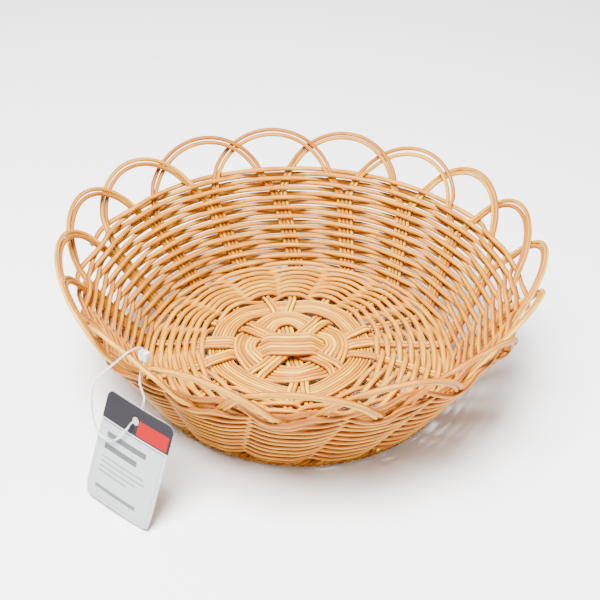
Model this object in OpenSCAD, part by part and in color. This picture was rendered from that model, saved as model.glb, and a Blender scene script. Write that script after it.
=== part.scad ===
// Shallow round basket of woven plastic rattan, with a hang tag.
// The base is a star of crossed strand bands bound by two rings, then a plain weave
// round 17 stakes. The stakes turn up into a flared wall, and above the rim each one
// arches over the next stake and goes back down beside the second one. A foot border
// closes the underside. Millimetres, +Z up, origin at the centre of the foot's underside.

/* [Basket] */
// Radius of the middle of the wall at the rim
rim_r = 115; // [110:1:120]
// Height of the rim row above the surface it stands on
rim_h = 61; // [58:1:64]
// Radius where the middle lines of base and wall would meet
base_r = 83.5; // [80:0.5:86]
// Radius of the turned-up corner between base and wall
corner_r = 8; // [7:0.5:9]

/* [Strands] */
// Diameter of one stake rod
rod_d = 2.4; // [2.2:0.1:2.5]
// Thickness of the weave, from its inner to its outer face
weave_t = 7.8; // [7.7:0.05:7.9]
// Distance from one row of the weave to the next
row_pitch = 3; // [2.8:0.1:3.2]
// How deep the groove between two rows is
row_groove = 0.3; // [0.2:0.05:0.35]

/* [Rim loops] */
// Height of a loop above the rim, measured along its leaning plane
loop_rise = 22; // [20:0.5:24]
// Lean of a loop's plane, out from upright
loop_lean = 32; // [30:1:34]
// How far a loop starts outside the wall's middle, and ends inside it
loop_pass = 2.55; // [2.5:0.05:2.6]

/* [Base star] */
// Width of one crossed band
band_w = 9.4; // [8:0.2:10]
// Thickness of a band or a ring
band_t = 2; // [1.6:0.1:2.2]
// Middle radius of the inner ring
inner_ring_r = 24.5; // [24.3:0.1:25]
// Middle radius of the outer ring
outer_ring_r = 38.5; // [38:0.1:39]
// Width of a ring
ring_w = 11; // [10:0.2:11.4]

/* [Foot] */
// Width of the foot border
foot_w = 9; // [7:0.5:10]
// Height of the foot border
foot_h = 2.6; // [2:0.1:2.6]

/* [Hang tag] */
// Width of the card
tag_w = 40; // [36:1:44]
// Height of the card
tag_h = 53.5; // [50:0.5:54]
// Thickness of the card
tag_t = 0.8; // [0.6:0.1:0.9]
// Diameter of the card's hole
tag_hole_d = 4; // [3.6:0.2:5]
// Diameter of the hang loop's cord
cord_d = 1; // [0.8:0.1:1.1]

/* [Hidden] */
$fn = 48;

// Stakes are counted clockwise from above; +Y is 90 degrees.
stake_count = 17;
stake_step = 360 / stake_count;
first_stake_deg = 185.8;
function stake_deg(i) = first_stake_deg - stake_step * (i - 1);

// The middle line of base and wall, by the distance s along it from weave_start_r.
base_z = foot_h + weave_t / 2 + 0.1;
weave_start_r = 46.5;
wall_deg = atan2(rim_h - base_z, rim_r - base_r);
corner_cut = corner_r * tan(wall_deg / 2);
flat_len = base_r - corner_cut - weave_start_r;
corner_len = corner_r * wall_deg * PI / 180;
wall_len = norm([rim_r - base_r, rim_h - base_z]) - corner_cut;
total_len = flat_len + corner_len + wall_len;
function turn(s) = min(max((s - flat_len) / corner_len, 0), 1) * wall_deg;
function line_point(s) =
    [weave_start_r + min(s, flat_len), base_z]
    + corner_r * [sin(turn(s)), 1 - cos(turn(s))]
    + max(s - flat_len - corner_len, 0) * [cos(wall_deg), sin(wall_deg)];
function line_normal(s) = [sin(turn(s)), -cos(turn(s))];

// Bands of the weave, as stretches of the middle line with a small gap between them.
band_gap = 0.1;
split_len = 17;
rim_band_len = 3;
base_end = flat_len - 2;
corner_end = flat_len + corner_len + 2;
split_start = total_len - split_len;
lower_end = (corner_end + split_start) / 2;
rim_start = total_len - rim_band_len;
rim_end = total_len + rod_d / 2;

// Stake rods lie side by side and pass the weave in channels. Below the rim a stake's
// two pairs part: each bends away from the stake and moves in or out of the wall.
rod_pitch = rod_d + 0.1;
wall_start = flat_len + corner_len;
split_bend_r = 12;
split_width = rim_r * sin(stake_step / 4);
split_sag = rim_r - sqrt(rim_r * rim_r - split_width * split_width);
function pair_out(side) = (-side * loop_pass - split_sag) * sin(wall_deg);
function pair_slant(side) = atan2(pair_out(side), split_width - rod_pitch);
function split_deg(side) =
    let (away = norm([split_width - rod_pitch, pair_out(side)]),
         reach = norm([split_len, split_bend_r - away]))
    asin(split_bend_r / reach) - atan2(split_bend_r - away, split_len);
foot_mid_r = weave_start_r + flat_len - 0.4;

// Rim loops: a circular arc through both ends on the rim and the top of the loop.
loop_half_deg = stake_step * 3 / 4;
loop_half_w = rim_r * sin(loop_half_deg);
loop_mid_r = rim_r * cos(loop_half_deg);
arch_r = (loop_half_w * loop_half_w + loop_rise * loop_rise) / (2 * loop_rise);
loop_yaw = atan2(loop_pass, loop_half_w);

// The star: eight arms, in four bands that cross at the centre.
star_turn = 9;
star_end_r = weave_start_r - 0.3;
over = band_t / 2 + 0.1;
layer = band_t + 0.1;

// The hang tag's own frame: X out from the basket, Y along its rim, Z up.
tag_deg = 235.5;
tag_top = [123.2, 0.5, 51.8];
tag_lean = 21;
tag_roll = -3;
tag_hole = [-1, -7];
tag_corner_r = 3.5;

// The cord's route from the lock's top, over the rim loop, down past the card's left
// edge, across its face, through its hole and up behind it to the lock's underside.
cord_route = [[115.5, -2.5, 77.5], [116, -2.5, 79.5], [118, -3, 81], [121, -3.5, 81.5],
    [124, -4.5, 81], [126.5, -6, 79], [128, -8, 76.5], [129, -10.5, 73.5], [129.5, -13.5, 70],
    [130, -16.5, 66.5], [130, -19, 63], [130, -21, 59], [130, -22.5, 55], [130, -23.5, 51],
    [130.5, -23.5, 47], [131, -23, 43], [132, -21.5, 39], [132.5, -19.5, 36], [133, -16.5, 33.5],
    [133, -13, 33], [132.5, -9.5, 34], [131.5, -6.5, 36.5], [130.5, -4.5, 40], [129.5, -2.5, 43],
    [128, -1.5, 45.5], [126, -1, 45.5], [124, -0.5, 45], [122.5, -0.5, 46.5], [121.5, -0.5, 49.5],
    [120.5, 0, 53], [120.5, 0.5, 57], [121.5, 0.5, 61], [122, 0, 65], [121, -0.5, 68.5],
    [119, -1.5, 70.5], [117, -2, 71], [115.5, -2.5, 73]];
lock_size = [3, 4.6, 4.5];
lock_centre = [115.5, -2.5, 75.25];

module strand_colour() {
    color([0.88, 0.66, 0.42]) children();
}

// One stretch of the weave, turned about the basket's axis, with a groove between rows.
module weave_ring(from_s, to_s) {
    steps = max(6, round((to_s - from_s) / row_pitch * 6));
    s_list = [for (k = [0 : steps]) from_s + (to_s - from_s) * k / steps];
    function half(s) = weave_t / 2 - row_groove * (1 - abs(sin(180 * s / row_pitch)));
    outer = [for (s = s_list) line_point(s) + half(s) * line_normal(s)];
    inner = [for (k = [steps : -1 : 0]) line_point(s_list[k]) - half(s_list[k]) * line_normal(s_list[k])];
    rotate_extrude($fn = 96) intersection() {
        polygon(concat(outer, inner));
        square([2 * rim_r, rim_h]);
    }
}

// A round rod through a list of points, each ring standing across the route there. The
// last ring can lie level instead, for a rod that is cut off flat at the rim.
module tube(route, diameter, sides, beside, level_end = false) {
    n = len(route);
    function along(k) = let (d = route[min(k + 1, n - 1)] - route[max(k - 1, 0)]) d / norm(d);
    function ring_point(k, j) =
        let (t = along(k), w = cross(t, beside), u = w / norm(w), v = cross(t, u), a = 360 * j / sides,
             q = route[k] + diameter / 2 * (cos(a) * u + sin(a) * v))
        level_end && k == n - 1 ? q + t * (route[k][2] - q[2]) / t[2] : q;
    rings = [for (k = [0 : n - 1]) for (j = [0 : sides - 1]) ring_point(k, j)];
    skin = [for (k = [0 : n - 2]) for (j = [0 : sides - 1])
        let (a = sides * k, m = (j + 1) % sides)
        [a + j, a + sides + j, a + sides + m, a + m]];
    first = [for (j = [0 : sides - 1]) j];
    last = [for (j = [sides - 1 : -1 : 0]) sides * (n - 1) + j];
    polyhedron(points = rings, faces = concat(skin, [first, last]), convexity = 8);
}

// The wall's own frame: X is its outward normal, Y runs along the rim, Z up the wall.
module on_wall(s) {
    point = line_point(s);
    translate([point[0], 0, point[1]]) rotate([0, 90 - wall_deg, 0]) children();
}

// The frame of a pair where it starts to part from its stake: X is the way it parts.
module on_split(side) {
    on_wall(split_start) translate([0, side * rod_pitch, 0])
        rotate([0, 0, atan2(side * cos(pair_slant(side)), sin(pair_slant(side)))]) children();
}

// A frame turned about the centre of the corner's bend, for a sweep up from the base.
module round_corner() {
    translate([weave_start_r + flat_len, 0, base_z + corner_r]) rotate([90, 90, 0]) children();
}

// A point beside the middle line at s: out along its normal and across, in stake frame.
function beside_line(s, out, across) =
    let (q = line_point(s) + out * line_normal(s)) [q[0], across, q[1]];

// One rod of a pair: k is 1 for the rod further from the stake's middle, else -1.
function rod_route(side, k) =
    let (slant = pair_slant(side), deg = split_deg(side), off = k * rod_pitch / 2,
         bend = split_bend_r - off,
         low = side < 0 ? [0, flat_len, each [for (t = [0.25 : 0.25 : 1]) flat_len + t * corner_len]]
             : [wall_start],
         turned = [for (t = [0, 1 / 3, 2 / 3, 1])
             [split_bend_r - bend * cos(t * deg), split_start + bend * sin(t * deg)]],
         rest = (total_len - turned[3][1] + sin(slant) * turned[3][0] / tan(wall_deg))
             / (cos(deg) - sin(slant) * sin(deg) / tan(wall_deg)),
         top = turned[3] + rest * [sin(deg), cos(deg)])
    concat([for (s = low) beside_line(s, off * sin(slant), side * (rod_pitch + off * cos(slant)))],
        [for (q = concat(turned, [top]))
            beside_line(q[1], q[0] * sin(slant), side * (rod_pitch + q[0] * cos(slant)))]);

// One stake: the pair that starts a loop comes out along the base and up the corner;
// the pair that ends one stops at the corner.
module stake(i) {
    strand_colour() rotate([0, 0, stake_deg(i)])
        for (side = [-1, 1]) for (k = [-1, 1]) tube(rod_route(side, k), rod_d, 6, [0, 1, 0], true);
}

// The ways left through the weave for one stake.
module channel() {
    pair_w = 2 * rod_pitch + 0.4;
    slot_t = rod_d + 0.9;
    translate([weave_start_r - 1, -rod_pitch - pair_w / 2, base_z - slot_t / 2])
        cube([flat_len + 1, pair_w, slot_t]);
    round_corner() rotate_extrude(angle = wall_deg)
        translate([corner_r - slot_t / 2, rod_pitch - pair_w / 2]) square([slot_t, pair_w]);
    on_wall(wall_start) translate([-slot_t / 2, -pair_w, -0.2])
        cube([slot_t, 2 * pair_w, split_start - wall_start + 0.3]);
    for (side = [-1, 1]) on_split(side) {
        corner_up = split_bend_r * tan(split_deg(side) / 2);
        translate([0, 0, corner_up / 2]) cube([pair_w + 0.8, rod_d + 0.25, corner_up + 2.4], center = true);
        translate([0, 0, corner_up]) rotate([0, split_deg(side), 0]) translate([0, 0, split_len / 2 + 2])
            cube([pair_w + 0.8, rod_d + 0.25, split_len + 7], center = true);
    }
}

module weave_band(from_s, to_s) {
    strand_colour() difference() {
        weave_ring(from_s, to_s);
        for (i = [1 : stake_count]) rotate([0, 0, stake_deg(i)]) channel();
    }
}

// Two strands side by side in a leaning arch, from the clockwise side of one stake to
// the near side of the second stake after it.
module rim_loop(i) {
    strand_colour() rotate([0, 0, stake_deg(i + 1)]) intersection() {
        translate([loop_mid_r, 0, rim_h]) rotate([0, 0, -loop_yaw])
            rotate([0, loop_lean, 0]) translate([0, 0, loop_rise - arch_r])
                rotate([90, 0, 90]) rotate([0, 0, -10]) for (k = [-1, 1])
                    rotate_extrude(angle = 200, $fn = 96)
                        translate([arch_r + k * rod_pitch / 2, 0]) circle(d = rod_d, $fn = 24);
        translate([0, -60, rim_h]) cube([180, 120, 60]);
    }
}

// Height of an arm or a ring above the base's middle plane, by how it passes the others.
function ease(t) = (1 - cos(180 * min(max(t, 0), 1))) / 2;
function arm_height(r, centre_layer, side) =
    let (c = centre_layer * layer, a = -side * over, b = side * over)
    r < inner_ring_r - ring_w / 2 ? c + (a - c) * ease((r - 11.5) / 7)
    : a + (b - a) * ease((r - inner_ring_r - ring_w / 2) / (outer_ring_r - inner_ring_r - ring_w));

// A flat strip swept through points, with its width along the matching cross vectors.
module strip(points, crosses, width, thick, closed) {
    n = len(points);
    corners = [for (k = [0 : n - 1]) each [
        points[k] - crosses[k] * width / 2 - [0, 0, thick / 2],
        points[k] + crosses[k] * width / 2 - [0, 0, thick / 2],
        points[k] + crosses[k] * width / 2 + [0, 0, thick / 2],
        points[k] - crosses[k] * width / 2 + [0, 0, thick / 2]]];
    last = closed ? n - 1 : n - 2;
    sides = [for (k = [0 : last]) for (j = [0 : 3])
        let (a = 4 * k, b = 4 * ((k + 1) % n), m = (j + 1) % 4)
        [a + j, b + j, b + m, a + m]];
    ends = closed ? [] : [[0, 1, 2, 3], [4 * n - 1, 4 * n - 2, 4 * n - 3, 4 * n - 4]];
    polyhedron(points = corners, faces = concat(sides, ends), convexity = 6);
}

// One band of the star, from one side of the weave to the other through the centre.
module star_band(turn_deg, centre_layer, side) {
    steps = 84;
    r_list = [for (k = [0 : steps]) -star_end_r + 2 * star_end_r * k / steps];
    points = [for (r = r_list) [r, 0, base_z + arm_height(abs(r), centre_layer, side)]];
    strand_colour() rotate([0, 0, star_turn + turn_deg])
        strip(points, [for (r = r_list) [0, 1, 0]], band_w, band_t, false);
}

// A ring over every other arm and under the rest.
module star_ring(radius, side) {
    steps = 144;
    swap = 7;
    function height(a) =
        let (m = ((a % 90) + 90) % 90, near = abs(m - 45))
        side * over * (1 - 2 * ease((22.5 + swap - near) / (2 * swap)));
    degs = [for (k = [0 : steps - 1]) 360 * k / steps];
    points = [for (a = degs) [radius * cos(a), radius * sin(a), base_z + height(a)]];
    strand_colour() rotate([0, 0, star_turn])
        strip(points, [for (a = degs) [-cos(a), -sin(a), 0]], ring_w, band_t, true);
}

module foot_border() {
    strand_colour() rotate_extrude($fn = 96) difference() {
        translate([foot_mid_r - foot_w / 2, 0]) square([foot_w, foot_h]);
        for (side = [-1, 1])
            translate([foot_mid_r + side * foot_w / 2, foot_h]) rotate([0, 0, 45])
                square(1.2, center = true);
    }
}

module in_tag_frame() {
    rotate([0, 0, tag_deg]) children();
}

// The card hangs outside the rim and leans out at its foot; its face looks outward.
module tag_card() {
    corner = [for (c = [[1, -1, 0], [-1, -1, 90], [-1, 1, 180], [1, 1, 270]]) each
        [for (a = [0 : 15 : 90])
            [c[0] * (tag_w / 2 - tag_corner_r) + tag_corner_r * cos(a + c[2]),
             (c[1] < 0 ? -tag_corner_r : tag_corner_r - tag_h) + tag_corner_r * sin(a + c[2])]]];
    color([0.93, 0.94, 0.94]) in_tag_frame() translate(tag_top)
        rotate([0, -tag_lean, 0]) rotate([tag_roll, 0, 0]) rotate([90, 0, 90])
            translate([0, 0, -tag_t / 2]) difference() {
                linear_extrude(tag_t) polygon(corner);
                translate([tag_hole[0], tag_hole[1], -1]) cylinder(d = tag_hole_d, h = tag_t + 2);
            }
}

module hang_cord() {
    color([0.9, 0.92, 0.93]) in_tag_frame() tube(cord_route, cord_d, 8, [0.35, 0.9, 0.26]);
}

module hang_cord_lock() {
    color([0.96, 0.97, 0.98]) in_tag_frame() translate(lock_centre)
        cube(lock_size, center = true);
}

star_band(90, -1.5, 1);  // band_north_south
star_band(135, -0.5, -1);  // band_northwest
star_band(45, 0.5, -1);  // band_northeast
star_band(0, 1.5, 1);  // band_west_east
star_ring(inner_ring_r, 1);  // inner_ring
star_ring(outer_ring_r, -1);  // outer_ring
weave_band(0, base_end);  // base_weave
weave_band(base_end + band_gap, corner_end);  // corner_weave
weave_band(corner_end + band_gap, lower_end);  // wall_weave_lower
weave_band(lower_end + band_gap, split_start);  // wall_weave_upper
weave_band(split_start + band_gap, rim_start);  // split_weave
weave_band(rim_start + band_gap, rim_end);  // rim_row
foot_border();
for (i = [1 : stake_count]) {
    two_digits = str(i < 10 ? "0" : "", i);
    stake(i);
    rim_loop(i);
}
tag_card();
hang_cord();
hang_cord_lock();
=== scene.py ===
"""Looks for the shallow woven basket: every strand is its own tube, woven as on the real
basket, with a printed card on a clear cord. Lengths are in millimetres up to mesh_from()."""

import math

import bmesh
import bpy
import numpy as np
from mathutils import Matrix, Vector


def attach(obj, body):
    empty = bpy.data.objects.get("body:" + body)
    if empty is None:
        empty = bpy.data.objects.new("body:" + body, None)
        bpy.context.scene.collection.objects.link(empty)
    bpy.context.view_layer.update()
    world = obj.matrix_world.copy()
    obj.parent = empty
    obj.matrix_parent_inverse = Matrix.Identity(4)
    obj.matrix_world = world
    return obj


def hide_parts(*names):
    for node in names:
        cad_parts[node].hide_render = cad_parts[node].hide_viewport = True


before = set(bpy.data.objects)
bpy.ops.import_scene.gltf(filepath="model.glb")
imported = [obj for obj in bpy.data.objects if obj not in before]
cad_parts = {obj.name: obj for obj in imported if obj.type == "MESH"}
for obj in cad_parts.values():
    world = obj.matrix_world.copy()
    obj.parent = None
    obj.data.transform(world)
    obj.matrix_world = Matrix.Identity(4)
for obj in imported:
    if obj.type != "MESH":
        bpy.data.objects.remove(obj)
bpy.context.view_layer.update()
MM = 0.001

# ---------------------------------------------------------------- sizes, as in the CAD
STAKES = 17
STEP = 360 / STAKES
FIRST_STAKE = 185.8
ROD = 2.4
PITCH = ROD + 0.1
RIM_R, RIM_H, BASE_R, CORNER_R = 115.0, 61.0, 83.5, 8.0
BASE_Z = 6.6
START_R = 46.5
WALL = math.atan2(RIM_H - BASE_Z, RIM_R - BASE_R)
CORNER_CUT = CORNER_R * math.tan(WALL / 2)
FLAT = BASE_R - CORNER_CUT - START_R
CORNER = CORNER_R * WALL
TOTAL = FLAT + CORNER + math.hypot(RIM_R - BASE_R, RIM_H - BASE_Z) - CORNER_CUT
SPLIT_LEN = 17.0
LOOP_RISE, LOOP_LEAN, LOOP_PASS = 22.0, math.radians(32), 2.55
SPLIT_W = RIM_R * math.sin(math.radians(STEP / 4))
SPLIT_SAG = RIM_R - math.sqrt(RIM_R ** 2 - SPLIT_W ** 2)
FOOT_R = START_R + FLAT - 0.4
LEAN_CORNER = 7.0
LEAN_STAR = {1: 7, 2: 7, 3: 7, 4: 11, 5: 6, 6: 8, 7: 8, 8: 10, 9: 7, 10: 1, 11: 2, 12: 2, 13: 7,
             14: -3, 15: 5, 16: 5, 17: 6}
UNEVEN_STAKES = {3: 0.4, 5: -1.8, 6: -2.4, 7: -2.4, 8: -1.6, 9: -0.8, 10: -0.4, 13: 0.5}

# ---------------------------------------------------------------- camera
TARGET = Vector((0, 0, RIM_H * MM))
camera_data = bpy.data.cameras.new("camera")
camera_data.lens = 60.38
camera_data.sensor_width = 36
camera_data.shift_x = -0.0018
camera_data.shift_y = -0.0515
camera = bpy.data.objects.new("camera", camera_data)
bpy.context.scene.collection.objects.link(camera)
CAMERA_PLACE = Vector((0, -0.4398, 0.3493))
turn = (TARGET - CAMERA_PLACE).to_track_quat("-Z", "Y").to_matrix().to_4x4()
roll = Matrix.Rotation(math.radians(1.47), 4, "Z")
camera.matrix_world = Matrix.Translation(CAMERA_PLACE) @ turn @ roll
bpy.context.scene.camera = camera


# ---------------------------------------------------------------- tubes and routes
def polar(deg):
    """Unit vectors outwards and counter-clockwise at an angle about the basket's axis."""
    a = np.radians(deg)
    return np.stack([np.cos(a), np.sin(a), 0 * a], -1), np.stack([-np.sin(a), np.cos(a), 0 * a], -1)


def resample(route, step):
    """The same route with evenly spaced points."""
    gaps = np.linalg.norm(np.diff(route, axis=0), axis=1)
    at = np.concatenate([[0], np.cumsum(gaps)])
    wanted = np.linspace(0, at[-1], max(4, int(round(at[-1] / step)) + 1))
    return np.stack([np.interp(wanted, at, route[:, k]) for k in range(3)], -1)


def smooth(route, reach, step):
    """A route rounded over about `reach`, with its two ends kept."""
    fine = resample(route, 0.5)
    width = max(1, int(reach / 0.5))
    weights = np.exp(-0.5 * (np.arange(-2 * width, 2 * width + 1) / width) ** 2)
    weights /= weights.sum()
    head = 2 * fine[0] - fine[1:2 * width + 1][::-1]
    tail = 2 * fine[-1] - fine[-2 * width - 1:-1][::-1]
    padded = np.concatenate([head, fine, tail])
    soft = np.stack([np.convolve(padded[:, k], weights, "valid") for k in range(3)], -1)
    return resample(soft, step)


def tube(route, wide, thick, flat_dir, sides, number, closed=False):
    """Rings of points along a route: `thick` along flat_dir, `wide` across it."""
    n = len(route)
    if closed:
        along = np.roll(route, -1, 0) - np.roll(route, 1, 0)
    else:
        along = np.gradient(route, axis=0)
    along /= np.linalg.norm(along, axis=1)[:, None]
    up = flat_dir - along * (flat_dir * along).sum(1)[:, None]
    up /= np.linalg.norm(up, axis=1)[:, None]
    side = np.cross(along, up)
    angle = 2 * np.pi * np.arange(sides) / sides
    wide = np.broadcast_to(wide, n)[:, None, None]
    thick = np.broadcast_to(thick, n)[:, None, None]
    across = np.cos(angle)[None, :, None] * side[:, None] * wide / 2
    rise = np.sin(angle)[None, :, None] * up[:, None] * thick / 2
    points = (route[:, None] + across + rise).reshape(-1, 3)
    ring = np.arange(n if closed else n - 1)[:, None] * sides
    after = (ring + sides) % (n * sides)
    j = np.arange(sides)[None, :]
    m = (j + 1) % sides
    quads = np.stack([ring + j, ring + m, after + m, after + j], -1).reshape(-1, 4)
    gaps = np.linalg.norm(np.diff(route, axis=0), axis=1)
    at = np.concatenate([[0], np.cumsum(gaps)])
    lengthwise = np.stack([np.repeat(at, sides), np.tile(np.arange(sides) / sides, n)], -1)
    return {"points": points, "quads": quads, "sides": sides, "closed": closed,
            "lengthwise": lengthwise, "number": number, "rings": n}


def mesh_from(name, tubes, material, body, replaced=()):
    """One object from several tubes, with end caps, riding on a body."""
    points, faces, total = [], [], 0
    length, around, number = [], [], []
    for t in tubes:
        points.append(t["points"])
        faces += (t["quads"] + total).tolist()
        if not t["closed"]:
            last = total + (t["rings"] - 1) * t["sides"]
            faces.append(list(range(total + t["sides"] - 1, total - 1, -1)))
            faces.append(list(range(last, last + t["sides"])))
        length.append(t["lengthwise"][:, 0])
        around.append(t["lengthwise"][:, 1])
        number.append(np.full(len(t["points"]), t["number"] % 1.0))
        total += len(t["points"])
    data = bpy.data.meshes.new(name)
    data.from_pydata((np.concatenate(points) * MM).tolist(), [], faces)
    for label, values in (("along", length), ("around", around), ("strand", number)):
        attribute = data.attributes.new(label, "FLOAT", "POINT")
        attribute.data.foreach_set("value", np.concatenate(values).astype(np.float32))
    data.shade_smooth()
    data.materials.append(material)
    piece = bpy.data.objects.new(name, data)
    bpy.context.scene.collection.objects.link(piece)
    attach(piece, body)
    if replaced:
        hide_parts(*replaced)
    return piece


# ---------------------------------------------------------------- the basket's surface
def line_turn(s):
    return np.clip((s - FLAT) / CORNER, 0, 1) * WALL


def line_point(s):
    """Radius and height of the middle line of base and wall, at s along it."""
    t = line_turn(s)
    up = np.maximum(s - FLAT - CORNER, 0)
    radius = START_R + np.minimum(s, FLAT) + CORNER_R * np.sin(t) + up * math.cos(WALL)
    height = BASE_Z + CORNER_R * (1 - np.cos(t)) + up * math.sin(WALL)
    return radius, height


def line_normal(s):
    t = line_turn(s)
    return np.sin(t), -np.cos(t)


STAR_CENTRE = np.array([-4.6, 3.6, 0.0])
CENTRED_R = 76


def star_shift(radius):
    """The star sits off centre, and the base weave round it comes back to the middle."""
    share = np.clip((CENTRED_R - radius) / (CENTRED_R - START_R), 0, 1)
    return (share * share * (3 - 2 * share))[:, None] * STAR_CENTRE


def on_surface(s, deg, out, across):
    """Points beside the middle line, `out` along its normal and `across` along the rim."""
    radius, height = line_point(s)
    nr, nz = line_normal(s)
    outward, sideways = polar(deg)
    flat = (radius + out * nr)[:, None] * outward + across[:, None] * sideways
    flat[:, 2] = height + out * nz
    return flat + star_shift(radius)


def stake_shift(i):
    """How far a stake stands from its even place, in degrees: the spacing is made by hand."""
    return UNEVEN_STAKES.get((i - 1) % STAKES + 1, 0)


def stake_deg(i):
    return FIRST_STAKE - STEP * (i - 1) + stake_shift(i)


def stake_lean(i, s):
    """The stakes slant as they climb: clockwise of the rim by so many degrees at s."""
    down = np.clip((TOTAL - s) / (TOTAL - FLAT - CORNER), 0, 1)
    back = np.clip((FLAT - s) / FLAT, 0, 1)
    return -LEAN_CORNER * down ** 1.3 + (LEAN_CORNER - LEAN_STAR[(i - 1) % STAKES + 1]) * back


def parted(s):
    """How far a stake's pairs have moved apart at s, from 0 to 1 at the rim."""
    x = np.clip((s - (TOTAL - SPLIT_LEN)) / SPLIT_LEN, 0, 1.2)
    bend = 0.35
    return np.where(x < bend, x * x / (2 * bend), x - bend / 2) / (1 - bend / 2)


def pair_out(side):
    return (-side * LOOP_PASS - SPLIT_SAG) * math.sin(WALL)


def pair_across(s):
    return PITCH + (SPLIT_W - PITCH) * parted(s)


# ---------------------------------------------------------------- materials
def new_material(name):
    material = bpy.data.materials.new(name)
    material.use_nodes = True
    nodes = material.node_tree.nodes
    return material, nodes, material.node_tree.links, nodes["Principled BSDF"]


def attribute_value(nodes, name):
    node = nodes.new("ShaderNodeAttribute")
    node.attribute_name = name
    return node.outputs["Fac"]


def maths(nodes, links, operation, a, b=None):
    node = nodes.new("ShaderNodeMath")
    node.operation = operation
    for socket, value in zip(node.inputs, (a, b)):
        if value is None:
            continue
        if isinstance(value, (int, float)):
            socket.default_value = value
        else:
            links.new(value, socket)
    return node.outputs[0]


def ramp(nodes, links, value, stops):
    node = nodes.new("ShaderNodeValToRGB")
    links.new(value, node.inputs[0])
    while len(node.color_ramp.elements) < len(stops):
        node.color_ramp.elements.new(0.5)
    for element, (place, colour) in zip(node.color_ramp.elements, stops):
        element.position = place
        element.color = (*colour, 1)
    return node.outputs[0]


def strand_material():
    """Extruded plastic rattan: fine lengthwise streaks, each strand a shade of its own."""
    material, nodes, links, shader = new_material("plastic_rattan")
    around = maths(nodes, links, "MULTIPLY", attribute_value(nodes, "around"), 2 * math.pi)
    where = nodes.new("ShaderNodeCombineXYZ")
    links.new(maths(nodes, links, "COSINE", around), where.inputs[0])
    links.new(maths(nodes, links, "SINE", around), where.inputs[1])
    strand = attribute_value(nodes, "strand")
    along = maths(nodes, links, "MULTIPLY", attribute_value(nodes, "along"), 0.035)
    shifted = maths(nodes, links, "ADD", along, maths(nodes, links, "MULTIPLY", strand, 71.0))
    links.new(shifted, where.inputs[2])

    streaks = nodes.new("ShaderNodeTexNoise")
    streaks.inputs["Scale"].default_value = 3.2
    streaks.inputs["Detail"].default_value = 4
    links.new(where.outputs[0], streaks.inputs["Vector"])
    patches = nodes.new("ShaderNodeTexNoise")
    patches.inputs["Scale"].default_value = 0.9
    patches.inputs["Detail"].default_value = 2
    links.new(where.outputs[0], patches.inputs["Vector"])

    mixed = maths(nodes, links, "MULTIPLY", streaks.outputs[0], 0.55)
    mixed = maths(nodes, links, "ADD", mixed, maths(nodes, links, "MULTIPLY", patches.outputs[0], 0.25))
    mixed = maths(nodes, links, "ADD", mixed, maths(nodes, links, "MULTIPLY", strand, 0.2))
    colour = ramp(nodes, links, mixed, (
        (0.33, (0.34, 0.096, 0.004)), (0.5, (0.57, 0.238, 0.012)), (0.66, (0.88, 0.58, 0.05))))
    # Painted shade: the flanks, where a strand meets its neighbours and shade falls, are painted darker
    # than its crown.
    sideways = maths(nodes, links, "ABSOLUTE", maths(nodes, links, "COSINE", around))
    painted_flank_shade = maths(nodes, links, "POWER", sideways, 3)
    shaded = nodes.new("ShaderNodeMix")
    shaded.data_type = "RGBA"
    links.new(maths(nodes, links, "MULTIPLY", painted_flank_shade, 0.95), shaded.inputs[0])
    links.new(colour, shaded.inputs[6])
    # the deep brown of the painted shade on the flanks
    shaded.inputs[7].default_value = (0.22, 0.045, 0.006, 1)
    links.new(shaded.outputs[2], shader.inputs["Base Color"])
    rough = nodes.new("ShaderNodeMapRange")
    rough.inputs["To Min"].default_value = 0.36
    rough.inputs["To Max"].default_value = 0.54
    links.new(streaks.outputs[0], rough.inputs["Value"])
    links.new(rough.outputs[0], shader.inputs["Roughness"])

    ridges = nodes.new("ShaderNodeTexNoise")
    ridges.inputs["Scale"].default_value = 7
    ridges.inputs["Detail"].default_value = 3
    links.new(where.outputs[0], ridges.inputs["Vector"])
    bump = nodes.new("ShaderNodeBump")
    bump.inputs["Strength"].default_value = 0.35
    bump.inputs["Distance"].default_value = 0.12 * MM
    links.new(ridges.outputs[0], bump.inputs["Height"])
    links.new(bump.outputs[0], shader.inputs["Normal"])
    shader.inputs["Subsurface Weight"].default_value = 0.05
    shader.inputs["Subsurface Radius"].default_value = (0.9, 0.45, 0.2)
    shader.inputs["Subsurface Scale"].default_value = 1.2 * MM
    shader.inputs["IOR"].default_value = 1.49
    shader.inputs["Specular IOR Level"].default_value = 0.18
    return material


def clear_material(name, tint, roughness, see_through):
    material, nodes, links, shader = new_material(name)
    noise = nodes.new("ShaderNodeTexNoise")
    noise.inputs["Scale"].default_value = 400
    place = nodes.new("ShaderNodeTexCoord")
    links.new(place.outputs["Object"], noise.inputs["Vector"])
    pale = tuple(min(1, c * 1.05) for c in tint)
    links.new(ramp(nodes, links, noise.outputs[0], ((0.3, tint), (0.7, pale))), shader.inputs["Base Color"])
    shader.inputs["Roughness"].default_value = roughness
    shader.inputs["IOR"].default_value = 1.49
    shader.inputs["Transmission Weight"].default_value = see_through
    return material


STRAND = strand_material()

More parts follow.
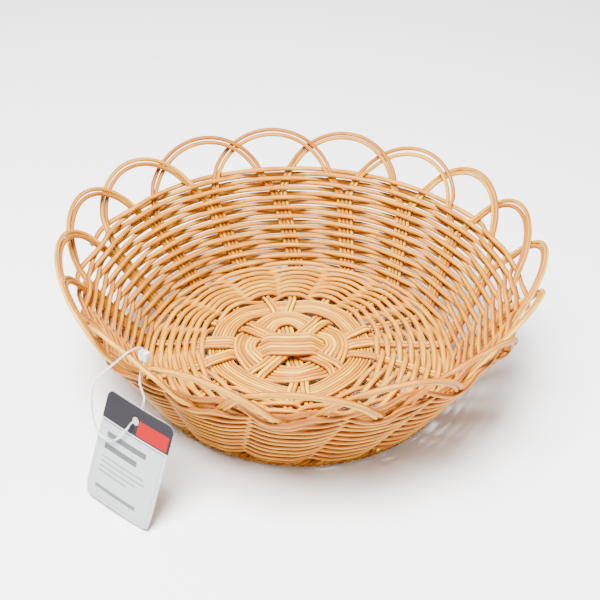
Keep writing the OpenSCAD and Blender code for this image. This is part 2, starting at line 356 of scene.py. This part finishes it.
# ---------------------------------------------------------------- hang cord, card, lock
TAG_DEG = 235.5
TAG_TOP = Vector((123.2, 0.5, 51.8))
TAG_LEAN, TAG_ROLL = math.radians(21), math.radians(-3)
TAG_W, TAG_H, TAG_T = 40.0, 53.5, 0.8
TAG_HOLE = (-1.0, -7.0)
TAG_HOLE_R = 2.0
TAG_CORNER = 3.5
CORD = 1.0
CORD_ROUTE = [
    (115.5, -2.5, 77.5), (116, -2.5, 79.5), (118, -3, 81), (121, -3.5, 81.5), (124, -4.5, 81),
    (126.5, -6, 79), (128, -8, 76.5), (129, -10.5, 73.5), (129.5, -13.5, 70), (130, -16.5, 66.5),
    (130, -19, 63), (130, -21, 59), (130, -22.5, 55), (130, -23.5, 51), (130.5, -23.5, 47),
    (131, -23, 43), (132, -21.5, 39), (132.5, -19.5, 36), (133, -16.5, 33.5), (133, -13, 33),
    (132.5, -9.5, 34), (131.5, -6.5, 36.5), (130.5, -4.5, 40), (129.5, -2.5, 43),
    (128, -1.5, 45.5), (126, -1, 45.5), (124, -0.5, 45), (122.5, -0.5, 46.5), (121.5, -0.5, 49.5),
    (120.5, 0, 53), (120.5, 0.5, 57), (121.5, 0.5, 61), (122, 0, 65), (121, -0.5, 68.5),
    (119, -1.5, 70.5), (117, -2, 71), (115.5, -2.5, 73)]
LOCK_CENTRE = Vector((115.5, -2.5, 75.25))
LOCK_SIZE = (3.0, 4.6, 4.5)
TAG_TURN = Matrix.Rotation(math.radians(TAG_DEG), 3, "Z")


def clear_loop():
    route = np.array([TAG_TURN @ Vector(p) for p in CORD_ROUTE])
    route = smooth(route, 0.9, 0.8)
    toward = np.array(TAG_TURN @ Vector((0.35, 0.9, 0.26)))
    one = tube(route, CORD, CORD, np.broadcast_to(toward, route.shape), 14, 0.5)
    clear = clear_material("clear_cord", (0.80, 0.83, 0.85), 0.18, 0.72)
    piece = mesh_from("clear_loop", [one], clear, "hang_loop", ["hang_cord"])
    return piece, route


def rounded_block(name, half, bevel, place, material, body, replaced):
    """A moulded block: bevelled, with a raised collar round its middle and a rim at each end."""
    mesh = bmesh.new()
    collar = (half[0] * 1.04, half[1] * 1.04, half[2] * 0.32)
    for size in (half, collar):
        made = bmesh.ops.create_cube(mesh, size=2)
        bmesh.ops.scale(mesh, vec=Vector(size), verts=made["verts"])
    for sign in (-1, 1):
        made = bmesh.ops.create_cone(mesh, cap_ends=True, segments=24, radius1=0.95, radius2=0.8,
                                     depth=0.8)
        end = Vector((0, 0, sign * (half[2] - 0.05)))
        bmesh.ops.translate(mesh, vec=end, verts=made["verts"])
    sharp_angle = 0.6
    sharp = [e for e in mesh.edges if e.calc_face_angle(0) > sharp_angle]
    bmesh.ops.bevel(mesh, geom=sharp, offset=bevel, segments=3, affect="EDGES", profile=0.6)
    data = bpy.data.meshes.new(name)
    mesh.to_mesh(data)
    mesh.free()
    data.transform(Matrix.Scale(MM, 4) @ TAG_TURN.to_4x4() @ Matrix.Translation(place))
    data.materials.append(material)
    data.shade_smooth()
    piece = bpy.data.objects.new(name, data)
    bpy.context.scene.collection.objects.link(piece)
    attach(piece, body)
    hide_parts(replaced)
    return piece


cord_piece, cord_path = clear_loop()
lock_piece = rounded_block("cord_lock", tuple(0.5 * v for v in LOCK_SIZE), 0.35, LOCK_CENTRE,
                           clear_material("milky_plastic", (0.93, 0.95, 0.96), 0.3, 0.35),
                           "hang_loop", "hang_cord_lock")


def card_material():
    """Printed card: a dark header with a plain red patch, a thin rule, and a pale field with
    an inset outline and plain bars. The bars stand for print; there is no lettering."""
    material, nodes, links, shader = new_material("printed_card")
    x = attribute_value(nodes, "card_x")
    y = attribute_value(nodes, "card_y")
    front = attribute_value(nodes, "front")

    def inside(value, low, high):
        above = maths(nodes, links, "GREATER_THAN", value, low)
        return maths(nodes, links, "MULTIPLY", above, maths(nodes, links, "LESS_THAN", value, high))

    def box(x0, x1, y0, y1):
        return maths(nodes, links, "MULTIPLY", inside(x, x0, x1), inside(y, y0, y1))

    def rounded(x0, x1, y0, y1, radius):
        """1 inside a rounded rectangle, from the distance to its shrunken core."""
        def beyond(value, low, high):
            centre = maths(nodes, links, "SUBTRACT", value, (low + high) / 2)
            over = maths(nodes, links, "SUBTRACT", maths(nodes, links, "ABSOLUTE", centre),
                         (high - low) / 2 - radius)
            return maths(nodes, links, "MAXIMUM", over, 0.0)
        dx, dy = beyond(x, x0, x1), beyond(y, y0, y1)
        squared = maths(nodes, links, "ADD", maths(nodes, links, "MULTIPLY", dx, dx),
                        maths(nodes, links, "MULTIPLY", dy, dy))
        return maths(nodes, links, "LESS_THAN", maths(nodes, links, "SQRT", squared), radius)

    def paint(below, mask, colour):
        node = nodes.new("ShaderNodeMix")
        node.data_type = "RGBA"
        links.new(maths(nodes, links, "MULTIPLY", mask, front), node.inputs[0])
        links.new(below, node.inputs[6])
        node.inputs[7].default_value = (*colour, 1)
        return node.outputs[2]

    place = nodes.new("ShaderNodeTexCoord")
    fibres = nodes.new("ShaderNodeTexNoise")
    fibres.inputs["Scale"].default_value = 900
    fibres.inputs["Detail"].default_value = 3
    links.new(place.outputs["Object"], fibres.inputs["Vector"])
    layer = ramp(nodes, links, fibres.outputs[0], ((0.3, (0.40, 0.41, 0.42)), (0.7, (0.45, 0.46, 0.47))))
    half = TAG_W / 2
    rim = rounded(-half + 1.6, half - 1.6, -TAG_H + 1.8, -15.6, 1.6)
    layer = paint(layer, rim, (0.30, 0.31, 0.32))
    field = rounded(-half + 2.0, half - 2.0, -TAG_H + 2.2, -16.0, 1.3)
    layer = paint(layer, field, (0.41, 0.425, 0.435))
    layer = paint(layer, box(-half, half, -13.6, 0), (0.020, 0.018, 0.022))
    layer = paint(layer, rounded(1.2, half - 1.2, -12.9, -5.6, 0.9), (0.30, 0.002, 0.004))
    layer = paint(layer, box(-half + 1.2, half - 1.2, -14.9, -14.4), (0.10, 0.10, 0.105))
    for x0, x1, y0, y1 in ((-14.5, 9.5, -21.6, -18.8), (-14.5, 5.5, -27.4, -24.6)):
        layer = paint(layer, box(x0, x1, y0, y1), (0.10, 0.10, 0.105))
    for k, x1 in enumerate((11.0, 12.5, 8.0, 3.0)):
        layer = paint(layer, box(-14.5, x1, -31.8 - 2.5 * k, -30.9 - 2.5 * k), (0.22, 0.22, 0.23))
    layer = paint(layer, box(-14.5, 10.5, -47.6, -45.8), (0.14, 0.14, 0.145))
    links.new(layer, shader.inputs["Base Color"])
    bump = nodes.new("ShaderNodeBump")
    bump.inputs["Strength"].default_value = 0.15
    bump.inputs["Distance"].default_value = 0.05 * MM
    links.new(fibres.outputs[0], bump.inputs["Height"])
    links.new(bump.outputs[0], shader.inputs["Normal"])
    shader.inputs["Roughness"].default_value = 0.7
    shader.inputs["Specular IOR Level"].default_value = 0.12
    return material


def printed_card():
    """The card: a rounded outline joined to its round hole, slightly bowed, with soft edges."""
    around = 96
    angle = 2 * np.pi * (np.arange(around) + 0.5) / around
    step = np.stack([np.cos(angle), np.sin(angle)], -1)
    hole = np.array(TAG_HOLE) + TAG_HOLE_R * step
    core = np.array([TAG_W / 2 - TAG_CORNER, TAG_H / 2 - TAG_CORNER])
    middle = np.array([0, -TAG_H / 2])
    start = hole - middle
    reach = np.full(around, 60.0)
    low = np.zeros(around)
    for _ in range(30):
        half_way = (low + reach) / 2
        over = np.maximum(np.abs(start + step * half_way[:, None]) - core, 0)
        outside = np.hypot(over[:, 0], over[:, 1]) > TAG_CORNER
        reach = np.where(outside, half_way, reach)
        low = np.where(outside, low, half_way)
    edge = 0.18
    shares = [0, 0.02, 0.25, 0.5, 0.75, 0.985, 1]
    rings = []
    for face in (1, -1):
        order = shares if face == 1 else shares[::-1]
        for share in order:
            flat = hole + step * (reach * share)[:, None]
            inset = edge if share in (0, 1) else 0
            level = np.full(around, face * (TAG_T / 2 - inset))
            rings.append(np.concatenate([flat, level[:, None]], 1))
    points = np.concatenate(rings)
    bow = 0.6 * (np.cos(np.pi * points[:, 0] / TAG_W) - 1)
    shown = points.copy()
    shown[:, 2] += bow
    n, faces = len(rings), []
    for k in range(n):
        a, b = k * around, ((k + 1) % n) * around
        for j in range(around):
            m = (j + 1) % around
            faces.append((a + j, b + j, b + m, a + m))
    spin = TAG_TURN.to_4x4() @ Matrix.Translation(TAG_TOP)
    spin = spin @ Matrix.Rotation(-TAG_LEAN, 4, "Y") @ Matrix.Rotation(TAG_ROLL, 4, "X")
    spin = spin @ Matrix(((0, 0, 1, 0), (1, 0, 0, 0), (0, 1, 0, 0), (0, 0, 0, 1)))
    data = bpy.data.meshes.new("printed_card")
    data.from_pydata([(spin @ Vector(p)) * MM for p in shown], [], faces)
    face_side = (points[:, 2] > 0).astype(np.float32)
    for label, values in (("card_x", points[:, 0]), ("card_y", points[:, 1]), ("front", face_side)):
        attribute = data.attributes.new(label, "FLOAT", "POINT")
        attribute.data.foreach_set("value", values.astype(np.float32))
    data.materials.append(card_material())
    data.shade_smooth()
    piece = bpy.data.objects.new("printed_card", data)
    bpy.context.scene.collection.objects.link(piece)
    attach(piece, "tag")
    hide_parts("tag_card")
    return piece


card_piece = printed_card()

# ---------------------------------------------------------------- weaver
BASE_ROW, WALL_ROW = 2.65, 2.95
FIRST_ROW = 0.3
BASE_TURNS = (FLAT + CORNER - FIRST_ROW) / BASE_ROW
# The last row ends behind the pair of rods beside the 593rd stake passed.
TURNS = (593 + 0.25) / STAKES
WEAVER = 2.4
PASS = (ROD + WEAVER) / 2
HELD_HALF = 2.0


def weaver_s(turns):
    """How far up the surface the spiral is after so many turns."""
    wall = np.maximum(turns - BASE_TURNS, 0)
    return FIRST_ROW + BASE_ROW * np.minimum(turns, BASE_TURNS) + WALL_ROW * wall


def weaver_keys():
    """Where the weaver is held: on each pair of rods it is on one side, then on the other."""
    turns, offsets = [], []
    first = stake_deg(STAKES)
    for k in range(int(TURNS * STAKES) + 3):
        sign = 1 if k % 2 else -1
        stake = stake_deg(STAKES - k % STAKES) + 360 * (k // STAKES)
        for side in (-1, 1):
            s = float(weaver_s(np.array((stake - first) / 360)))
            if side == 1 and s < FLAT + CORNER * 0.5:
                continue
            radius = float(line_point(np.array(s))[0])
            gap = float(pair_across(np.array(s)))
            rise = float(parted(np.array(s)))
            lean = float(stake_lean(STAKES - k % STAKES, np.array(s)))
            centre = stake + lean + math.degrees(side * gap / radius)
            held = pair_out(side) * min(rise, 1) * 0.8 + sign * PASS
            half = math.degrees(HELD_HALF / radius)
            turns += [(centre - half - first) / 360, (centre + half - first) / 360]
            offsets += [held, held]
    order = np.argsort(turns)
    return np.array(turns)[order], np.array(offsets)[order]


KEY_TURNS, KEY_OFFSETS = weaver_keys()


def weaver_offset(turns):
    k = np.clip(np.searchsorted(KEY_TURNS, turns) - 1, 0, len(KEY_TURNS) - 2)
    t = np.clip((turns - KEY_TURNS[k]) / (KEY_TURNS[k + 1] - KEY_TURNS[k]), 0, 1)
    t = t * t * (3 - 2 * t)
    return KEY_OFFSETS[k] * (1 - t) + KEY_OFFSETS[k + 1] * t


def ripple(turns, seed):
    """Small hand-made unevenness, the same on every run."""
    a = 2 * np.pi * turns
    return (np.sin(a * 2.31 + seed) + np.sin(a * 5.17 + 2.3 * seed) + np.sin(a * 9.71 + 4.1 * seed)) / 3


def weaver(name, node, first_turn, last_turn):
    count = int((last_turn - first_turn) * STAKES * 18) + 2
    turns = np.linspace(first_turn, last_turn, count)
    s = weaver_s(turns)
    s += (0.14 + 0.26 * np.clip((s - FLAT) / CORNER, 0, 1)) * ripple(turns, 1.0)
    deg = stake_deg(STAKES) + 360 * turns
    held = weaver_offset(turns)
    out = held + 0.12 * ripple(turns, 2.0)
    route = on_surface(s, deg, out, np.zeros(count))
    nr, nz = line_normal(s)
    outward, _ = polar(deg)
    normal = nr[:, None] * outward
    normal[:, 2] = nz
    on_wall = np.clip((s - FLAT) / CORNER, 0, 1)
    press = np.clip(np.abs(held) / PASS, 0, 1) ** 2
    wide = 3.1 - 0.4 * on_wall + (0.1 + 0.2 * on_wall) * press
    thick = 2.3
    row = tube(route, wide, thick, normal, 12, 0.37)
    return mesh_from(name, [row], STRAND, "basket", [node])


def turn_at(s):
    base = (s - FIRST_ROW) / BASE_ROW
    return base if base < BASE_TURNS else BASE_TURNS + (s - FLAT - CORNER) / WALL_ROW


SPLIT_START = TOTAL - SPLIT_LEN
LOWER_END = (FLAT + CORNER + 2 + SPLIT_START) / 2
WEAVER_CUTS = (
    ("weaver_base", "base_weave", 0, turn_at(FLAT - 2)),
    ("weaver_corner", "corner_weave", turn_at(FLAT - 2), turn_at(FLAT + CORNER + 2)),
    ("weaver_wall_lower", "wall_weave_lower", turn_at(FLAT + CORNER + 2), turn_at(LOWER_END)),
    ("weaver_wall_upper", "wall_weave_upper", turn_at(LOWER_END), turn_at(SPLIT_START)),
    ("weaver_split", "split_weave", turn_at(SPLIT_START), turn_at(TOTAL - 3)),
    ("weaver_rim", "rim_row", turn_at(TOTAL - 3), TURNS))
for cut in WEAVER_CUTS:
    weaver(*cut)

# ---------------------------------------------------------------- stakes and rim loops
ARCH_HALF = RIM_R * math.sin(math.radians(STEP * 3 / 4))
ARCH_MID = RIM_R * math.cos(math.radians(STEP * 3 / 4))
ARCH_R = (ARCH_HALF ** 2 + LOOP_RISE ** 2) / (2 * LOOP_RISE)
ARCH_YAW = math.atan2(LOOP_PASS, ARCH_HALF)


# Loops that were bent by hand: how far the top has drifted, how much higher it stands, and
# how far its two strands have come apart.
UNEVEN_LOOPS = {1: (0, 3.0, 0), 2: (2.0, 2.8, 0), 3: (-0.5, 2.6, 0), 4: (0.5, 2.1, 0), 5: (-1, 1.1, -0.1),
                6: (-4.0, 0, 0.35), 7: (-1, 1.4, -0.1), 8: (0, 1.0, 0.1), 9: (0, 0.8, 0)}


def wobble(i, k):
    """A number from -1 to 1 that differs from loop to loop, and 0 for those that the cord
    and its lock swing past."""
    return 0 if i in (14, 15, 16) else math.sin(12.9898 * i + 4.1414 * k)


def side_route(i, side, k, from_s, to_s):
    """One rod of a pair, from the base or the corner up to the rim."""
    s = np.linspace(from_s, to_s, 60)
    across = side * (pair_across(s) + k * PITCH / 2)
    return on_surface(s, stake_deg(i) + stake_lean(i, s), pair_out(side) * parted(s), across)


def arch_route(i, ring):
    """The free part of a loop's strand: an arch that leans out over the rim."""
    drift, taller, apart = UNEVEN_LOOPS.get(i, (0, 0, 0))
    rise = LOOP_RISE * (1 + 0.03 * wobble(i, 1)) + taller
    lean = LOOP_LEAN + math.radians(2.0 * wobble(i, 2))
    radius = ARCH_R + ring * PITCH / 2 * (1 + 0.08 * wobble(i, 3) + apart)
    start = math.asin((ARCH_R - LOOP_RISE) / radius) + 0.10
    phi = np.linspace(start, math.pi - start, 60)
    y = radius * np.cos(phi)
    z = (rise / LOOP_RISE) * (LOOP_RISE - ARCH_R + radius * np.sin(phi))
    skew = (0.5 * wobble(i, 4) + drift) * np.sin(phi)
    flat = np.stack([z * math.sin(lean), y + skew, z * math.cos(lean)], -1)
    flat[:, 1] *= 1 + (stake_shift(i) - stake_shift(i + 2)) / (1.5 * STEP)
    turned = flat.copy()
    turned[:, 0] = flat[:, 0] * math.cos(ARCH_YAW) + flat[:, 1] * math.sin(ARCH_YAW) + ARCH_MID
    turned[:, 1] = flat[:, 1] * math.cos(ARCH_YAW) - flat[:, 0] * math.sin(ARCH_YAW)
    turned[:, 2] += RIM_H
    outward, sideways = polar(np.array((stake_deg(i) + stake_deg(i + 2)) / 2))
    place = turned[:, :1] * outward + turned[:, 1:2] * sideways
    place[:, 2] = turned[:, 2]
    return place


def strand_pair(i):
    tubes = []
    for ring in (-1, 1):
        up = side_route(i, -1, -ring, 0.4, TOTAL - 1.2)
        down = side_route(i + 2, 1, -ring, FLAT + CORNER * 0.6, TOTAL - 1.2)[::-1]
        route = smooth(np.concatenate([up, arch_route(i, ring), down]), 1.3, 1.2)
        level = np.broadcast_to(np.array([0.0, 0.0, 1.0]), route.shape)
        outward = route * np.array([1.0, 1.0, 0.0]) + 60 * level
        tubes.append(tube(route, ROD, ROD, outward, 12, 0.137 * i + 0.29 * ring + 0.31))
    number = f"{i:02d}"
    return mesh_from(f"strands_{number}", tubes, STRAND, "basket",
                     [f"stake_{number}", f"rim_loop_{number}"])


for stake in range(1, STAKES + 1):
    strand_pair(stake)

# ---------------------------------------------------------------- star of the base
LAYER = 2.15
OVER = 1.25
LANE = 2.45
RING_IN, RING_OUT = 18.0, 33.9
# Each band: its direction at the centre, its layer there, and 1 where its arms go over the
# inner ring. Each arm: the strands it sends to its stakes, as (stake, how many), clockwise.
BANDS = (
    ("star_north_south", "band_north_south", 102, -1.5, -1, ((4, 2), (5, 2)), ((13, 2), (14, 2))),
    ("star_northwest", "band_northwest", 146, -0.5, 1, ((2, 2), (3, 2)), ((11, 2), (12, 2))),
    ("star_northeast", "band_northeast", 56, 0.5, 1, ((6, 2), (7, 2)), ((15, 2), (16, 2))),
    ("star_west_east", "band_west_east", 3, 1.5, -1, ((8, 2), (9, 3), (10, 2)), ((17, 3), (1, 4))))


# Where an arm comes down from the crossing, changes sides between the rings, and joins the
# base; and where its strands start to fan out to their stakes, and over how far.
CROSSING_R, BETWEEN_R, CHANGE_R, JOIN_R = 10.5, 24, 29.0, 45
FAN_R, FAN_REACH = 22, 24
# The top band crosses a little to one side, and is back in line at this radius.
BRIDGE_SHIFT, BRIDGE_REACH = 1.4, 24


def ease(t):
    t = np.clip(t, 0, 1)
    return t * t * (3 - 2 * t)


def arm_height(r, layer, side):
    """An arm is over the inner ring and under the outer one, or the other way round."""
    centre = layer * LAYER
    reach = 8.5 if layer > 1 else 6.5
    low = centre + (side * OVER - centre) * ease((r - CROSSING_R) / reach)
    high = side * OVER * (1 - 2 * ease((r - CHANGE_R) / 5))
    out = np.where(r < BETWEEN_R, low, high)
    return BASE_Z + out * (1 - ease((r - JOIN_R) / 4))


def arm_ends(arm):
    """The stake and the place beside it that each of an arm's strands goes to."""
    places = {2: (-PITCH / 2, -1.5 * PITCH), 3: (PITCH / 2, -PITCH / 2, -1.5 * PITCH),
              4: (1.5 * PITCH, PITCH / 2, -PITCH / 2, -1.5 * PITCH)}
    return [(i, across, across in places[2]) for i, n in arm for across in places[n]]


def half_band(deg, lane, end, layer, side):
    """A strand from the star's centre out along its band and over to its stake."""
    stake, across, goes_on = end
    r = np.linspace(0, START_R + (1.2 if goes_on else 9), 70)
    outward, sideways = polar(np.full(70, float(deg)))
    straight = r[:, None] * outward + lane * sideways
    straight[:, 1] -= BRIDGE_SHIFT * (1 - ease(r / BRIDGE_REACH)) * (layer > 1)
    toward, beside = polar(stake_deg(stake) + stake_lean(stake, r - START_R))
    fanned = r[:, None] * toward + across * beside
    share = ease((r - FAN_R) / FAN_REACH)[:, None]
    route = straight * (1 - share) + fanned * share
    route[:, 2] = arm_height(r, layer, side)
    return route + star_shift(r)


def star_band(name, node, deg, layer, side, arm_a, arm_b):
    tubes = []
    ends_a, ends_b = arm_ends(arm_a), arm_ends(arm_b)
    count = len(ends_a)
    for j in range(count):
        lane = ((count - 1) / 2 - j) * (LANE + 0.35 * (layer > 1))
        one = half_band(deg, lane, ends_a[j], layer, side)
        other = half_band(deg + 180, -lane, ends_b[count - 1 - j], layer, side)
        route = smooth(np.concatenate([other[:0:-1], one]), 1.4, 1.0)
        level = np.broadcast_to(np.array([0.0, 0.0, 1.0]), route.shape)
        tubes.append(tube(route, 2.42 + 0.3 * (layer > 1), 2.15, level, 12, 0.31 * j + 0.17 * layer + 0.2))
    return mesh_from(name, tubes, STRAND, "basket", [node])


def ring_height(deg, side):
    """A ring's height: over four of the arms and under the other four."""
    arms = []
    for _, _, band_deg, _, band_side, arm_a, arm_b in BANDS:
        for arm in (arm_a, arm_b):
            ends = arm_ends(arm)
            stakes = np.radians([stake_deg(e[0]) - LEAN_STAR[e[0]] for e in ends])
            middle = math.degrees(np.angle(np.exp(1j * stakes).sum()))
            near = band_deg if abs((middle - band_deg + 180) % 360 - 180) < 90 else band_deg + 180
            off = (middle - near + 180) % 360 - 180
            arms.append(((near + off * (0.15 if side == 1 else 0.75)) % 360, -band_side * side,
                         len(ends) * (2.1 if side == 1 else 1.9)))
    arms.sort()
    places, values = [], []
    for centre, value, half in arms:
        places += [centre - half, centre + half]
        values += [value, value]
    before = [place - 360 for place in places[-2:]]
    beyond = [place + 360 for place in places[:2]]
    places = np.array(before + places + beyond)
    values = np.array(values[-2:] + values + values[:2])
    k = np.clip(np.searchsorted(places, deg) - 1, 0, len(places) - 2)
    t = ease((deg - places[k]) / (places[k + 1] - places[k]))
    return values[k] * (1 - t) + values[k + 1] * t


def star_ring(name, node, inner, strands, step, squareness, side):
    """A ring of strands. The diagonal arms pull the inner ring into a rounded square."""
    tubes = []
    for j in range(strands):
        deg = np.arange(0, 360, 1.5)
        pull = squareness * (1 - j / strands) * np.cos(np.radians(4 * (deg - 98)))
        outward, _ = polar(deg)
        route = (inner + j * step + pull)[:, None] * outward + STAR_CENTRE
        route[:, 2] = BASE_Z + OVER * ring_height(deg, side)
        level = np.broadcast_to(np.array([0.0, 0.0, 1.0]), route.shape)
        tubes.append(tube(route, step * 0.99, 2.05, level, 12, 0.23 * j + 0.1 * side + 0.3, closed=True))
    return mesh_from(name, tubes, STRAND, "basket", [node])


for band in BANDS:
    star_band(*band)
star_ring("star_inner_ring", "inner_ring", RING_IN, 6, 2.5, 2.4, 1)
star_ring("star_outer_ring", "outer_ring", RING_OUT, 7, 1.8, 0, -1)


# ---------------------------------------------------------------- foot border
def foot_rope():
    """Strand ends twisted round each other under the corner."""
    tubes = []
    strands, twists = 4, 34
    radius, height = FOOT_R + 1.8, 2.4
    twist_wide, twist_high = 2.9, 1.2
    for j in range(strands):
        deg = np.arange(0, 360, 0.75)
        phase = np.radians(twists * deg + 360 * j / strands)
        outward, _ = polar(deg)
        route = (radius + twist_wide * np.cos(phase))[:, None] * outward
        route[:, 2] = height + twist_high * np.sin(phase)
        level = np.broadcast_to(np.array([0.0, 0.0, 1.0]), route.shape)
        tubes.append(tube(route, ROD, ROD, level, 10, 0.27 * j + 0.1, closed=True))
    return mesh_from("foot_rope", tubes, STRAND, "basket", ["foot_border"])


foot_rope()


# ---------------------------------------------------------------- stage and light
def stage():
    bpy.ops.mesh.primitive_plane_add(size=6, location=(0, 0, 0))
    floor = bpy.context.object
    floor.name = "floor"
    material, nodes, links, shader = new_material("paper_floor")
    shader.inputs["Base Color"].default_value = (0.93, 0.93, 0.93, 1)
    shader.inputs["Roughness"].default_value = 0.9
    floor.data.materials.append(material)


def area_light(name, place, aim, size, power):
    data = bpy.data.lights.new(name, "AREA")
    data.size = size
    data.energy = power
    light = bpy.data.objects.new(name, data)
    bpy.context.scene.collection.objects.link(light)
    light.location = place
    light.rotation_euler = (Vector(aim) - Vector(place)).to_track_quat("-Z", "Y").to_euler()


stage()
area_light("key", (-0.2, -0.35, 1.15), (0, 0, 0.03), 0.6, 92)
area_light("fill", (0.7, -0.7, 0.6), (0, 0, 0.03), 0.9, 4)
area_light("back", (0.1, 1.0, 0.8), (0, 0, 0.05), 0.8, 6)
world = bpy.data.worlds.new("studio")
world.use_nodes = True
world.node_tree.nodes["Background"].inputs[0].default_value = (1, 1, 1, 1)
world.node_tree.nodes["Background"].inputs[1].default_value = 0.24
bpy.context.scene.world = world
